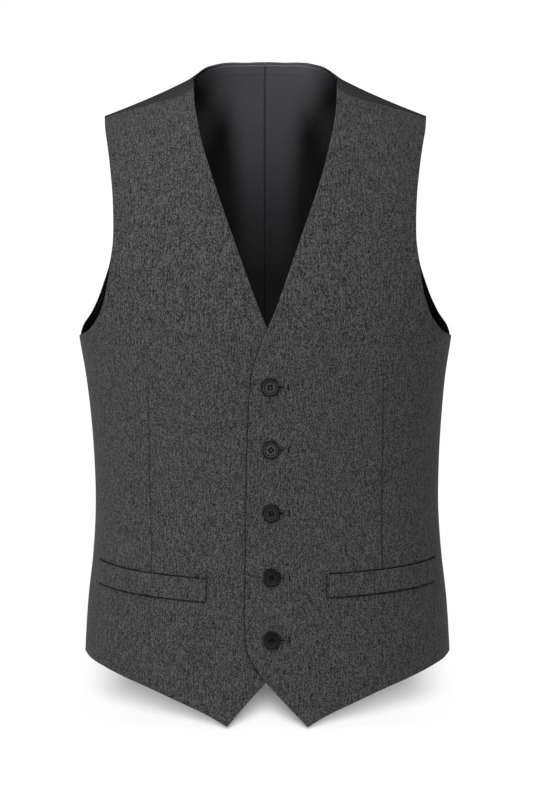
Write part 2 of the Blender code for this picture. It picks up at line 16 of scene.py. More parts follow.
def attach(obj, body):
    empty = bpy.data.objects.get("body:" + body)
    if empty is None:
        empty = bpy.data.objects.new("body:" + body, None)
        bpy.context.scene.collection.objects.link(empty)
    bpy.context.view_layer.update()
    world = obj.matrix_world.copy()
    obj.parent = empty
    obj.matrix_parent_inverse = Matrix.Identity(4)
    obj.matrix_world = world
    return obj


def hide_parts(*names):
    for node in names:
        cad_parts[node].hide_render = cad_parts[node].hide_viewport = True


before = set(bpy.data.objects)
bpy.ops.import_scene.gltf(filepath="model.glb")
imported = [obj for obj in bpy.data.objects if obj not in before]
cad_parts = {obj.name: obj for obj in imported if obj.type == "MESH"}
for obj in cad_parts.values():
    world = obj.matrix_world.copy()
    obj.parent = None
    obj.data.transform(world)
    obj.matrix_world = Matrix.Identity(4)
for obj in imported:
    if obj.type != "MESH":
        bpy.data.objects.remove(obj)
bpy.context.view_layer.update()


# ------------------------------------------------------------------------------------------------
# The two fronts. Each is cut from mid-weight melange wool, backed with canvas and faced inside along
# the front edge, and shaped by one long dart. They are sewn to the back at the side and the shoulder.
# ------------------------------------------------------------------------------------------------

ARMHOLE_LEVEL = -0.2505
TURN_RADIUS = 0.160
RIDGE_UP = 0.262
SIDE_SEAM_TURN = math.radians(96)
GIRTH_POWER = 2.3
FRONT_POWER = 2.0
BACK_POWER = 2.2
NECK_FULL_BEHIND = 0.55
NECK_FULL_UP = 0.80
NUDGE = 0.0004
HALVINGS = 30

# level, half width, depth in front, depth behind, sway
BODY = np.array((
    (-0.640, 0.1796, 0.1215, 0.1160, 0.0012),
    (-0.562, 0.1780, 0.1210, 0.1130, 0.0014),
    (-0.508, 0.1748, 0.1190, 0.1070, 0.0014),
    (-0.462, 0.1698, 0.1160, 0.0995, 0.0013),
    (-0.420, 0.1674, 0.1145, 0.0960, 0.0010),
    (-0.376, 0.1682, 0.1150, 0.0975, 0.0007),
    (-0.332, 0.1711, 0.1178, 0.1035, 0.0003),
    (-0.290, 0.1757, 0.1218, 0.1110, -0.0003),
    (-0.2505, 0.1820, 0.1243, 0.1168, -0.0007),
    (-0.200, 0.1848, 0.1250, 0.1215, -0.0011),
    (-0.130, 0.1825, 0.1245, 0.1250, -0.0012),
    (-0.060, 0.1780, 0.1240, 0.1235, -0.0010),
    (0.000, 0.1750, 0.1240, 0.1170, -0.0005),
))
# half width, height of the ridge over the shoulders
SHOULDER = np.array((
    (-0.025, 0.0105), (0.000, 0.0120), (0.025, 0.0105), (0.045, 0.0070), (0.058, 0.0038),
    (0.0695, 0.0000), (0.080, -0.0052), (0.095, -0.0125), (0.120, -0.0235), (0.145, -0.0336),
    (0.165, -0.0412), (0.185, -0.0490),
))
# half width, climb of the back up the neck
NECK_BASE = np.array((
    (-0.020, 0.0487), (0.000, 0.0495), (0.020, 0.0487), (0.035, 0.0467), (0.043, 0.0431), (0.051, 0.0371),
    (0.059, 0.0308), (0.0665, 0.0242), (0.080, 0.0150), (0.100, 0.0060), (0.120, 0.0015), (0.140, 0.0000),
    (0.185, 0.0000),
))

# Edges of a front as they look from straight ahead: half width, height.
LEFT_FRONT_EDGE = (
    (0.0383, -0.6265), (0.0187, -0.6062), (-0.0025, -0.5827), (-0.0093, -0.5740), (-0.0139, -0.5662),
    (-0.0176, -0.5583), (-0.0200, -0.5505), (-0.0210, -0.5400), (-0.0213, -0.5248), (-0.0209, -0.4869),
    (-0.0203, -0.4462), (-0.0190, -0.3920), (-0.0175, -0.3445), (-0.0157, -0.3122), (-0.0140, -0.2995),
    (-0.0115, -0.2850), (-0.0060, -0.2683), (0.0022, -0.2490), (0.0091, -0.2324), (0.0202, -0.2020),
    (0.0333, -0.1640), (0.0451, -0.1303), (0.0550, -0.0990), (0.0622, -0.0700), (0.0667, -0.0480),
    (0.0690, -0.0250), (0.0694, -0.0135),
)
RIGHT_FRONT_EDGE = (
    (0.0383, -0.6265), (0.0210, -0.6062), (-0.0002, -0.5827), (-0.0077, -0.5740), (-0.0133, -0.5662),
    (-0.0176, -0.5583), (-0.0200, -0.5505), (-0.0210, -0.5400), (-0.0213, -0.5248), (-0.0209, -0.4869),
    (-0.0203, -0.4462), (-0.0190, -0.3920), (-0.0179, -0.3445), (-0.0167, -0.3122), (-0.0154, -0.2995),
    (-0.0133, -0.2850), (-0.0092, -0.2683), (-0.0022, -0.2490), (0.0044, -0.2324), (0.0155, -0.2020),
    (0.0290, -0.1640), (0.0422, -0.1260), (0.0546, -0.0880), (0.0603, -0.0690), (0.0645, -0.0500),
    (0.0681, -0.0290), (0.0694, -0.0135),
)
FRONT_HEM = (
    (0.0383, -0.6265), (0.0540, -0.6172), (0.0826, -0.6040), (0.1115, -0.5913), (0.1290, -0.5844),
    (0.1467, -0.5770), (0.1588, -0.5715), (0.1713, -0.5652), (0.1755, -0.5617),
)
FRONT_ARMHOLE = (
    (0.1760, -0.2512), (0.1688, -0.2464), (0.1616, -0.2372), (0.1560, -0.2240), (0.1518, -0.2079),
    (0.1491, -0.1903), (0.1464, -0.1702), (0.1458, -0.1576), (0.1458, -0.1431), (0.1463, -0.1285),
    (0.1473, -0.1138), (0.1489, -0.0990), (0.1508, -0.0840), (0.1531, -0.0690), (0.1558, -0.0536),
    (0.1572, -0.0405),
)
SHOULDER_SEAM = (
    (0.0694, -0.0135), (0.0770, -0.0182), (0.0891, -0.0222), (0.1079, -0.0272), (0.1267, -0.0318),
    (0.1395, -0.0350), (0.1500, -0.0382), (0.1572, -0.0405),
)
SIDE_HEM, UNDERARM = -0.5600, -0.2520

FRONT_WALL = 0.0016
LAP_LIFT = 0.00105
LAP_FLAT, LAP_END, LAP_FADE_UP = 0.022, 0.075, 0.12
FACING_WIDTH = 0.050
# The mesh of a cloth: its step, and as shares of that step the distance between its rows and the least
# distance to a seam's own places. Then the step along edges, and how far inside them the seams stop.
MESH_STEP = 0.0024
ROW_SHARE = 0.866
APART_SHARE = 0.62
EDGE_STEP = 0.0020
CLEAR_OF_RIM = 0.0009
# the radius of a turned edge, and the share of a wall that it takes at most
ROLL = 0.0006
ROLL_SHARE = 0.42

# Darts, from the hem to the chest: half width, height.
DART_RIGHT = ((0.1125, -0.5935), (0.1124, -0.5590), (0.1123, -0.5259), (0.1107, -0.4631), (0.1117, -0.4068),
              (0.1122, -0.3446), (0.1128, -0.2845))
DART_LEFT = ((0.1098, -0.5925), (0.1096, -0.5590), (0.1096, -0.5258), (0.1100, -0.4630), (0.1103, -0.3924),
             (0.1120, -0.3160), (0.1132, -0.2779))
# Welts: half width and height of the inner top, outer top, inner bottom and outer bottom corners.
WELT_RIGHT = ((0.0582, -0.4867), (0.1620, -0.4702), (0.0590, -0.5076), (0.1615, -0.4917))
WELT_LEFT = ((0.0569, -0.4822), (0.1620, -0.4681), (0.0569, -0.5034), (0.1608, -0.4898))
WELT_BOW = 0.0015
WELT_GAP = 0.00050
EDGE_SWELL, EDGE_SWELL_AT, EDGE_SWELL_WIDTH = 0.00035, 0.0016, 0.0011
BUTTON_X = 0.0040
BUTTON_HEIGHTS = (-0.3041, -0.3635, -0.4238, -0.4850, -0.5442)
SLIT_LENGTH = 0.0128
SLIT_PLACES = 9
STITCHES_END = 0.0028
# the dent that a button presses into the cloth, painted dark for the shade round the button, as places on a
# circle that closes over its own start
SEAT_RADIUS = 0.0083
SEAT_PLACES = 56
SEAT_TURNS = 1.05
# how far past the centre line the lap's shadow on the right front begins
LAP_SHADE_FROM = 0.001
# how far from a seam the mesh has rows of its own, and the share of its colour that is left where a dark
# seam or painted shade is deepest
SEAM_SIDES = (0.0, 0.00045, 0.0010, 0.0018)
SEAM_AND_SHADE_TONE = 0.10
# the part of a noise that breaks up the darkness of a wool seam and its painted shade, and the shares of it
# that this leaves
SEAM_AND_SHADE_NOISE, SEAM_AND_SHADE_SHARES = (0.35, 0.65), (0.65, 1.25)
# how dark and pale the satin's ribs are beside its colour
RIB_TONES = (0.88, 1.12)
# The lining's painted sheen, a paler patch standing for the light the satin catches up the middle towards
# the neck, by height between
# two levels: its share at the centre, and how far from the centre it has halved, as a share of
# PAINTED_SHEEN_HALF_WIDTH, over a soft edge of 1 - PAINTED_SHEEN_EDGE to 1 + PAINTED_SHEEN_EDGE.
PAINTED_SHEEN_LEVELS = (-0.20, 0.02)
PAINTED_SHEEN_HALF_WIDTH = 0.08
PAINTED_SHEEN_EDGE = 0.45
PAINTED_SHEEN_BY_HEIGHT = ((0.0, 0.02), (0.15, 0.06), (0.34, 0.13), (0.52, 0.24), (0.68, 0.36), (0.79, 0.50),
                  (0.87, 0.66), (0.94, 0.78), (1.0, 1.0))
PAINTED_SHEEN_WIDTH = ((0.0, 0.30), (0.50, 0.34), (0.68, 0.38), (0.80, 0.51), (0.90, 0.68), (0.97, 0.84))


def ease(t):
    t = np.clip(t, 0.0, 1.0)
    return t * t * (3 - 2 * t)


def read(rows, at, column=1):
    """A smooth curve through one column of a table, read at places along its first column."""
    keys, values = rows[:, 0], rows[:, column]
    gaps = np.diff(keys)
    rises = np.diff(values) / gaps
    inner = (rises[:-1] * gaps[1:] + rises[1:] * gaps[:-1]) / (gaps[:-1] + gaps[1:])
    slopes = np.concatenate((rises[:1], inner, rises[-1:]))
    at = np.clip(at, keys[0], keys[-1])
    i = np.clip(np.searchsorted(keys, at) - 1, 0, len(gaps) - 1)
    t = (at - keys[i]) / gaps[i]
    return ((1 + 2 * t) * (1 - t) ** 2 * values[i] + t * (1 - t) ** 2 * gaps[i] * slopes[i]
            + t * t * (3 - 2 * t) * values[i + 1] + t * t * (t - 1) * gaps[i] * slopes[i + 1])


def squared_circle(angle, power):
    sine, cosine = np.sin(angle), np.cos(angle)
    reach = (abs(sine) ** power + abs(cosine) ** power) ** (1 / power)
    return sine / reach, cosine / reach


def over_shoulder(in_front, up):
    """Share of the way up to the ridge, and share of the body's depth that is left there."""
    return squared_circle(up / RIDGE_UP * math.pi / 2, np.where(in_front, FRONT_POWER, BACK_POWER))


def upper_height(in_front, half_width, climb, closing):
    height = ARMHOLE_LEVEL + (read(SHOULDER, half_width) - ARMHOLE_LEVEL) * climb
    neck = read(NECK_BASE, half_width) * ease(closing / NECK_FULL_BEHIND) * ease(climb / NECK_FULL_UP)
    return height + np.where(in_front, 0.0, neck)


def form(side, across, up):
    """Points of the worn form. side is -1 in front and +1 behind."""
    sideways, depth = squared_circle(across / TURN_RADIUS, GIRTH_POWER)
    in_front = side * depth * np.where(up <= RIDGE_UP, 1, -1) < 0
    climb, closing = over_shoulder(in_front, np.maximum(up, 0.0))
    level = np.where(up > 0, ARMHOLE_LEVEL * (1 - climb), ARMHOLE_LEVEL + up)
    x = read(BODY, level, 1) * sideways
    y = side * depth * closing * np.where(in_front, read(BODY, level, 2), read(BODY, level, 3))
    z = np.where(up > 0, upper_height(in_front, abs(x), climb, abs(closing)), level)
    return np.stack((x + read(BODY, level, 4), y, z), axis=-1)


def outward(side, across, up):
    along = form(side, across + NUDGE, up) - form(side, across - NUDGE, up)
    rise = form(side, across, up + NUDGE) - form(side, across, up - NUDGE)
    normal = np.cross(along, rise) * -side
    return normal / np.linalg.norm(normal, axis=-1, keepdims=True)


def across_of(half_width, level):
    sideways = np.minimum(1.0, abs(half_width) / read(BODY, level, 1))
    depth = (1 - sideways ** GIRTH_POWER) ** (1 / GIRTH_POWER)
    return np.copysign(np.arctan2(sideways, depth) * TURN_RADIUS, half_width), depth


def on_form(side, places):
    """The across and up of places seen straight from the front or from behind."""
    half_width, height = np.array(places, float).T
    low, high = np.zeros(len(height)), np.full(len(height), RIDGE_UP)
    for _ in range(HALVINGS):
        up = (low + high) / 2
        climb, closing = over_shoulder(side < 0, up)
        short = upper_height(side < 0, abs(half_width), climb, closing) < height
        low, high = np.where(short, up, low), np.where(short, high, up)
    above = height > ARMHOLE_LEVEL
    level = np.where(above, ARMHOLE_LEVEL * (1 - climb), height)
    return np.stack((across_of(half_width, level)[0], np.where(above, up, height - ARMHOLE_LEVEL)), axis=-1)


def lengths(line):
    return np.concatenate(([0.0], np.cumsum(np.linalg.norm(np.diff(line, axis=0), axis=1))))


def drawn(places, step=EDGE_STEP):
    """Even places along a smooth curve through a few."""
    rows = np.column_stack((lengths(places), places))
    at = np.linspace(0, rows[-1, 0], max(2, round(rows[-1, 0] / step) + 1))
    return np.column_stack((read(rows, at, 1), read(rows, at, 2)))


def joined(*edges):
    """One closed outline from edges that each start where the last one ends."""
    return np.concatenate([edge[:-1] for edge in edges])


def inside(outline, places):
    x, y = places.T
    within = np.zeros(len(places), bool)
    for (x0, y0), (x1, y1) in zip(outline, np.roll(outline, -1, axis=0)):
        crosses = (y0 > y) != (y1 > y)
        within ^= crosses & (x < x0 + (y - y0) * (x1 - x0) / (y1 - y0 + 1e-15))
    return within


def distance_to(places, line):
    """Distance from each place to a line, and how far along it the nearest point lies, from 0 to 1. Both
    have either two measures or three."""
    corners = KDTree(len(line))
    for i, corner in enumerate(line):
        corners.insert((*corner, 0.0)[:3], i)
    corners.balance()
    at = np.array([corners.find((*place, 0.0)[:3])[1] for place in places])
    nearest, along = np.full(len(places), np.inf), np.zeros(len(places))
    for first in (np.maximum(at - 1, 0), np.minimum(at, len(line) - 2)):
        step = line[first + 1] - line[first]
        t = np.clip(((places - line[first]) * step).sum(axis=1) / (step * step).sum(axis=1), 0, 1)
        away = np.linalg.norm(places - line[first] - t[:, None] * step, axis=1)
        along = np.where(away < nearest, (first + t) / (len(line) - 1), along)
        nearest = np.minimum(nearest, away)
    return nearest, along


def beside(line, distances):
    """Places along a line and at set distances on both sides of it."""
    step = np.gradient(line, axis=0)
    across = np.column_stack((-step[:, 1], step[:, 0])) / np.linalg.norm(step, axis=1)[:, None]
    rows = [line]
    for distance in distances:
        if distance:
            rows += [line + across * distance, line - across * distance]
    return np.concatenate(rows)


def mesh_places(outline, lines):
    """Places that a sheet of cloth is meshed through: outline, seams, and an even spread between."""
    fixed = outline
    if lines:
        sewn = np.concatenate(lines)
        sewn = sewn[inside(outline, sewn)]
        from_rim = distance_to(sewn, np.concatenate((outline, outline[:1])))[0]
        fixed = np.concatenate((outline, sewn[from_rim > CLEAR_OF_RIM]))
    low, high = outline.min(axis=0), outline.max(axis=0)
    spread = []
    for i, level in enumerate(np.arange(low[1], high[1], MESH_STEP * ROW_SHARE)):
        row = np.arange(low[0] + MESH_STEP / 2 * (i % 2), high[0], MESH_STEP)
        spread.append(np.column_stack((row, np.full(len(row), level))))
    spread = np.concatenate(spread)
    spread = spread[inside(outline, spread)]
    tree = KDTree(len(fixed))
    for i, place in enumerate(fixed):
        tree.insert((*place, 0.0), i)
    tree.balance()
    clear = np.array([tree.find((*place, 0.0))[2] > MESH_STEP * APART_SHARE for place in spread])
    return np.concatenate((fixed, spread[clear]))


def choose(*pieces):
    """Selects these pieces alone, with the first of them active."""
    bpy.ops.object.select_all(action="DESELECT")
    for piece in pieces:
        piece.select_set(True)
    bpy.context.view_layer.objects.active = pieces[0]


def cloth(name, side, mirror, outline, seams, lift, wall, finishes, facing=None):
    """A thin shell over the form, pressed in along its seams. A seam is a line in the piece's unmirrored
    measures, its half width, its depth, how dark it is painted and the share of it that fades at each end.
    That darkness is a dark seam line, or painted shade standing for the shade in a groove, a gap, under a
    lap or round a button.
    finishes are the outer, facing and lining materials. facing is above zero where the inside is lined."""
    places = mesh_places(outline, [beside(line, SEAM_SIDES) for line, *_ in seams])
    rim = [(i, (i + 1) % len(outline)) for i in range(len(outline))]
    flat, _, faces, *_ = delaunay_2d_cdt([Vector(place) for place in places], rim, [], 1, 1e-7)
    flat = np.array([tuple(place) for place in flat])
    across, up = flat[:, 0] * mirror, flat[:, 1]
    points = form(side, across, up)
    sunk, dark = np.zeros(len(flat)), np.zeros(len(flat))
    for line, half_width, depth, shade, fading in seams:
        away, along = distance_to(points, form(side, line[:, 0] * mirror, line[:, 1]))
        pressed = np.exp(-(away / half_width) ** 2) * ease(np.minimum(along, 1 - along) / (fading + 1e-9))
        sunk += depth * pressed
        dark = np.maximum(dark, shade * pressed)
    points = points + outward(side, across, up) * (lift(flat, across, up) - sunk)[:, None]
    if side * mirror > 0:
        faces = [face[::-1] for face in faces]
    mesh = bpy.data.meshes.new(name)
    mesh.from_pydata(points.tolist(), [], faces)
    mesh.shade_smooth()
    outer, faced, lining = finishes
    for finish in (outer, outer, faced, lining):
        mesh.materials.append(finish)
    if facing is not None:
        is_lined = facing(flat) > 0
        mesh.polygons.foreach_set("material_index", [int(is_lined[list(face)].all()) for face in faces])
    mesh.attributes.new("seam_and_painted_shade", "FLOAT", "POINT").data.foreach_set("value", dark.astype(np.float32))
    grain = mesh.uv_layers.new(name="grain")
    corners = np.array([corner for face in faces for corner in face])
    grain.data.foreach_set("uv", np.column_stack((across, up))[corners].astype(np.float32).ravel())
    piece = bpy.data.objects.new(name, mesh)
    bpy.context.scene.collection.objects.link(piece)
    choose(piece)
    thicken = piece.modifiers.new("wall", "SOLIDIFY")
    thicken.thickness = wall
    thicken.offset = -1.0
    thicken.material_offset = 2
    bpy.ops.object.modifier_apply(modifier="wall")
    at_rim = {}
    for face in mesh.polygons[2 * len(faces):]:
        for edge in face.edge_keys:
            at_rim[edge] = edge not in at_rim
    turned = mesh.attributes.new("bevel_weight_edge", "FLOAT", "EDGE")
    turned.data.foreach_set("value", [float(at_rim.get(edge, False)) for edge in mesh.edge_keys])
    soften = piece.modifiers.new("turned_edge", "BEVEL")
    soften.width = min(ROLL, wall * ROLL_SHARE)
    soften.segments = 3
    soften.limit_method = "WEIGHT"
    soften.use_clamp_overlap = False
    bpy.ops.object.modifier_apply(modifier="turned_edge")
    piece.data.shade_smooth()
    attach(piece, "root")
    return piece


def new_material(name):
    made = bpy.data.materials.new(name)
    made.use_nodes = True
    return made, made.node_tree, made.node_tree.nodes["Principled BSDF"]


def figured(tree, operation, *values, clamp=False):
    """A sum worked out on values, each a number or another node's output."""
    node = tree.nodes.new("ShaderNodeMath")
    node.operation = operation
    node.use_clamp = clamp
    for value, socket in zip(values, node.inputs):
        if isinstance(value, float):
            socket.default_value = value
        else:
            tree.links.new(value, socket)
    return node.outputs[0]


def remapped(tree, value, before=(0.0, 1.0), after=(0.0, 1.0), kind="LINEAR"):
    """The value, carried from one range to another."""
    node = tree.nodes.new("ShaderNodeMapRange")
    node.interpolation_type = kind
    for key, end in zip(("From Min", "From Max", "To Min", "To Max"), before + after):
        node.inputs[key].default_value = end
    tree.links.new(value, node.inputs["Value"])
    return node.outputs[0]


def ramped(tree, value, rows, kind="LINEAR"):
    """The colour at a value, between rows that each have a place from 0 to 1 and a colour or a grey."""
    node = tree.nodes.new("ShaderNodeValToRGB")
    ramp = node.color_ramp
    ramp.interpolation = kind
    while len(ramp.elements) < len(rows):
        ramp.elements.new(0.5)
    for element, (place, colour) in zip(ramp.elements, rows):
        element.position = place
        element.color = (*colour, 1) if isinstance(colour, tuple) else (colour, colour, colour, 1)
    tree.links.new(value, node.inputs[0])
    return node.outputs[0]


def mixed(tree, share, first, second, kind="MIX"):
    """Two colours mixed. Each is a fixed one or another node's output."""
    node = tree.nodes.new("ShaderNodeMix")
    node.data_type = "RGBA"
    node.blend_type = kind
    tree.links.new(share, node.inputs[0])
    for colour, socket in ((first, node.inputs[6]), (second, node.inputs[7])):
        if isinstance(colour, tuple):
            socket.default_value = (*colour, 1)
        else:
            tree.links.new(colour, socket)
    return node.outputs[2]


def textured(tree, kind, place, stretch=None, **values):
    """A texture node that reads a place, scaled along each axis where asked."""
    if stretch is not None:
        mapping = tree.nodes.new("ShaderNodeMapping")
        mapping.inputs["Scale"].default_value = stretch
        tree.links.new(place, mapping.inputs[0])
        place = mapping.outputs[0]
    texture = tree.nodes.new("ShaderNodeTex" + kind)
    tree.links.new(place, texture.inputs["Vector"])
    for key, value in values.items():
        texture.inputs[key].default_value = value
    return texture


def embossed(tree, shader, height, strength, distance):
    """Raises the surface by a height that the mesh doesn't have."""
    bump = tree.nodes.new("ShaderNodeBump")
    bump.inputs["Strength"].default_value = strength
    bump.inputs["Distance"].default_value = distance
    tree.links.new(height, bump.inputs["Height"])
    tree.links.new(bump.outputs[0], shader.inputs["Normal"])


def named_map(tree, name):
    node = tree.nodes.new("ShaderNodeUVMap")
    node.uv_map = name
    return node.outputs[0]


def named_attribute(tree, name):
    node = tree.nodes.new("ShaderNodeAttribute")
    node.attribute_name = name
    return node.outputs["Fac"]


def darkened(tree, colour, break_up=None):
    """The colour, darker where the seam_and_painted_shade attribute says, for dark seams and painted shade,
    and uneven along them where break_up is.
    """
    share = named_attribute(tree, "seam_and_painted_shade")
    if break_up is not None:
        uneven = remapped(tree, break_up, SEAM_AND_SHADE_NOISE, SEAM_AND_SHADE_SHARES)
        share = figured(tree, "MULTIPLY", share, uneven, clamp=True)
    return mixed(tree, share, colour, (SEAM_AND_SHADE_TONE, SEAM_AND_SHADE_TONE, SEAM_AND_SHADE_TONE), "MULTIPLY")


def melange(name, dark, mid, light):
    """Wool spun from mixed dark and pale fibre, in a fine weave. Reads the grain map, in metres."""
    made, tree, shader = new_material(name)
    grain = named_map(tree, "grain")
    flecks = textured(tree, "Voronoi", grain, (1.0, 0.65, 1.0), Scale=1700.0)
    flecks.voronoi_dimensions = "2D"
    flecks.feature = "SMOOTH_F1"
    flecks.inputs["Smoothness"].default_value = 0.5
    apart = tree.nodes.new("ShaderNodeSeparateColor")
    tree.links.new(flecks.outputs["Color"], apart.inputs[0])
    fibres = textured(tree, "Noise", grain, (1.0, 0.45, 1.0), Scale=2000.0, Detail=2.0, Roughness=0.7)
    streaks = textured(tree, "Noise", grain, (1.0, 0.07, 1.0), Scale=1000.0, Detail=2.0, Roughness=0.6)
    clouds = textured(tree, "Noise", grain, (1.0, 0.8, 1.0), Scale=38.0, Detail=2.0)
    shares = ((apart.outputs[0], 1.12), (fibres.outputs["Fac"], 1.25), (streaks.outputs["Fac"], 1.35),
              (clouds.outputs["Fac"], 0.05))
    tone = 0.5 - 0.5 * sum(weight for _, weight in shares)
    for pattern, weight in shares:
        tone = figured(tree, "MULTIPLY_ADD", pattern, weight, tone)
    wool_colour = ramped(tree, tone, ((0.0, dark), (0.5, mid), (1.0, light)))
    # a noise that breaks up the painted shade and dark seams
    painted_shade_and_sheen = textured(tree, "Noise", grain, (1.0, 1.0, 1.0), Scale=330.0, Detail=1.0)
    tree.links.new(darkened(tree, wool_colour, painted_shade_and_sheen.outputs["Fac"]), shader.inputs["Base Color"])
    embossed(tree, shader, tone, 0.4, 0.0002)
    shader.inputs["Roughness"].default_value = 0.92
    shader.inputs["Specular IOR Level"].default_value = 0.25
    shader.inputs["Sheen Weight"].default_value = 0.04
    shader.inputs["Sheen Roughness"].default_value = 0.45
    return made


def satin(name, colour, shine, gloss, painted_shade_and_sheen=None):
    """Warp-faced lining satin, with fine ribs along the grain, and where asked a painted sheen: a paler
    patch up the middle towards the neck.
    """
    made, tree, shader = new_material(name)
    grain = named_map(tree, "grain")
    ribs = textured(tree, "Noise", grain, (1.0, 0.06, 1.0), Scale=1400.0, Detail=2.0)
    low, high = [tuple(part * tone for part in colour) for tone in RIB_TONES]
    base = mixed(tree, ribs.outputs["Fac"], low, high)
    # painted sheen: a paler patch up the middle towards the neck, standing for light the satin catches
    # there
    if painted_shade_and_sheen is not None:
        place = tree.nodes.new("ShaderNodeTexCoord")
        apart = tree.nodes.new("ShaderNodeSeparateXYZ")
        tree.links.new(place.outputs["Object"], apart.inputs[0])
        height = remapped(tree, apart.outputs["Z"], PAINTED_SHEEN_LEVELS)
        most = ramped(tree, height, PAINTED_SHEEN_BY_HEIGHT, "B_SPLINE")
        width = ramped(tree, height, PAINTED_SHEEN_WIDTH, "B_SPLINE")
        off_centre = figured(tree, "ABSOLUTE", figured(tree, "DIVIDE", apart.outputs["X"], width))
        soft_edge = (PAINTED_SHEEN_HALF_WIDTH * (1 + PAINTED_SHEEN_EDGE), PAINTED_SHEEN_HALF_WIDTH * (1 - PAINTED_SHEEN_EDGE))
        near = remapped(tree, off_centre, soft_edge, kind="SMOOTHSTEP")
        base = mixed(tree, figured(tree, "MULTIPLY", most, near), base, painted_shade_and_sheen)
    tree.links.new(darkened(tree, base), shader.inputs["Base Color"])
    embossed(tree, shader, ribs.outputs["Fac"], 0.25, 0.00006)
    shader.inputs["Roughness"].default_value = shine
    shader.inputs["Specular IOR Level"].default_value = gloss
    return made


def front_outline(front_edge):
    turn = SIDE_SEAM_TURN * TURN_RADIUS
    side = np.array(((turn, SIDE_HEM - ARMHOLE_LEVEL), (turn, UNDERARM - ARMHOLE_LEVEL)))
    hem = drawn(np.concatenate((on_form(-1, FRONT_HEM), side[:1])))
    armhole = drawn(np.concatenate((side[1:], on_form(-1, FRONT_ARMHOLE))))
    shoulder = drawn(on_form(-1, SHOULDER_SEAM))[::-1]
    edge = drawn(on_form(-1, front_edge))[::-1]
    return joined(hem, drawn(side), armhole, shoulder, edge), edge


def lap_lift(direction, across, up):
    sideways = 1 - ease((abs(across) - LAP_FLAT) / (LAP_END - LAP_FLAT))
    return direction * LAP_LIFT * sideways * (1 - ease(up / LAP_FADE_UP))


def bowed(start, end):
    """Places along one long edge of a welt, which sags a little between its ends."""
    share = np.linspace(0, 1, round(np.linalg.norm(end - start) / EDGE_STEP) + 1)[:, None]
    return start + (end - start) * share - (0, 1) * (WELT_BOW * 4 * share * (1 - share))


def welt_edges(corners):
    inner_top, outer_top, inner_bottom, outer_bottom = on_form(-1, corners)
    ends = drawn(np.array((outer_bottom, outer_top))), drawn(np.array((inner_top, inner_bottom)))
    return bowed(inner_bottom, outer_bottom), ends[0], bowed(inner_top, outer_top)[::-1], ends[1]


wool = melange("grey_melange_wool", (0.010, 0.010, 0.010), (0.050, 0.050, 0.050), (0.107, 0.107, 0.107))
# the lining's last colour is its painted sheen towards the neck
lining_satin = satin("lining_satin", (0.008, 0.008, 0.0085), 0.27, 0.12, (0.174, 0.174, 0.190))
lap_line = front_outline(LEFT_FRONT_EDGE)[1] * (-1, 1)
shoulder_line = drawn(on_form(-1, SHOULDER_SEAM))
button_places = on_form(-1, [(BUTTON_X, height) for height in BUTTON_HEIGHTS])
side_line = drawn(np.array([(SIDE_SEAM_TURN * TURN_RADIUS, level - ARMHOLE_LEVEL)
                            for level in (SIDE_HEM, UNDERARM)]))
for hand, mirror, front_edge, darts, corners in (
        ("right", -1, RIGHT_FRONT_EDGE, DART_RIGHT, WELT_RIGHT),
        ("left", 1, LEFT_FRONT_EDGE, DART_LEFT, WELT_LEFT)):
    front_edges, front_edge_line = front_outline(front_edge)
    dart = drawn(on_form(-1, darts))
    fixed_edge, outer_end, mouth, inner_end = welt_edges(corners)
    below_welt = dart[:, 1] < fixed_edge[:, 1].mean()
    # line, half width, depth, how dark it is painted, share that fades at each end. The dart and welt lines
    # are painted dark mostly for the shade in their grooves and in the pocket's mouth, the dart's partly
    # for its stitching; the shoulder and side lines are dark seams.
    seams = [
        (dart[below_welt], 0.00050, 0.0004, 0.45, 0.10),
        (dart[~below_welt], 0.00055, 0.0006, 0.85, 0.12),
        (mouth + (0, WELT_GAP), 0.00085, 0.0006, 1.0, 0.0),
        (inner_end - (WELT_GAP, 0), 0.00080, 0.0005, 1.0, 0.0),
        (fixed_edge - (0, WELT_GAP), 0.00080, 0.0005, 1.0, 0.0),
        (outer_end + (WELT_GAP, 0), 0.00050, 0.0004, 0.4, 0.0),
        (shoulder_line, 0.00070, 0.0, 0.8, 0.0),
        (side_line, 0.00070, 0.0, 0.8, 0.0),
        (front_edge_line + (EDGE_SWELL_AT, 0), 0.0004, 0.0, 0.0, 0.0),
    ]
    if hand == "right":
        # painted shadow that the left front's edge casts on the right front
        seams.append((lap_line[lap_line[:, 0] > LAP_SHADE_FROM], 0.0011, 0.0, 0.95, 0.02))
    else:
        for across, up in button_places:
            slit = np.linspace((across, up), (across + SLIT_LENGTH, up), SLIT_PLACES)
            round_button = np.linspace(0, 2 * math.pi * SEAT_TURNS, SEAT_PLACES)[:, None]
            seat = (across, up) + SEAT_RADIUS * np.hstack((np.cos(round_button), np.sin(round_button)))
            # the slit is painted dark for the shade in its gap, and the lines at the stitches' outer ends
            # for the shade there
            seams += [(slit, 0.00065, 0.0010, 1.0, 0.04), (seat, 0.0007, 0.0003, 0.75, 0.0),
                      (slit + (0, STITCHES_END), 0.0003, 0.0002, 0.6, 0.08),
                      (slit - (0, STITCHES_END), 0.0003, 0.0002, 0.6, 0.08)]

    def front_lift(flat, across, up):
        swell = np.exp(-((distance_to(flat, front_edge_line)[0] - EDGE_SWELL_AT) / EDGE_SWELL_WIDTH) ** 2)
        return lap_lift(mirror, across, up) + EDGE_SWELL * swell

    def faced_to_lined(flat):
        return distance_to(flat, front_edge_line)[0] - FACING_WIDTH

    front = cloth("wool_front_" + hand, -1, mirror, front_edges, seams, front_lift,
                  FRONT_WALL, (wool, wool, lining_satin), faced_to_lined)
    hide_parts("front_" + hand)


# ------------------------------------------------------------------------------------------------
# The back and its lining. Two halves of satin outside and two inside, each joined down the centre,
# hang from the shoulder seams and close the body at the side seams.
# ------------------------------------------------------------------------------------------------

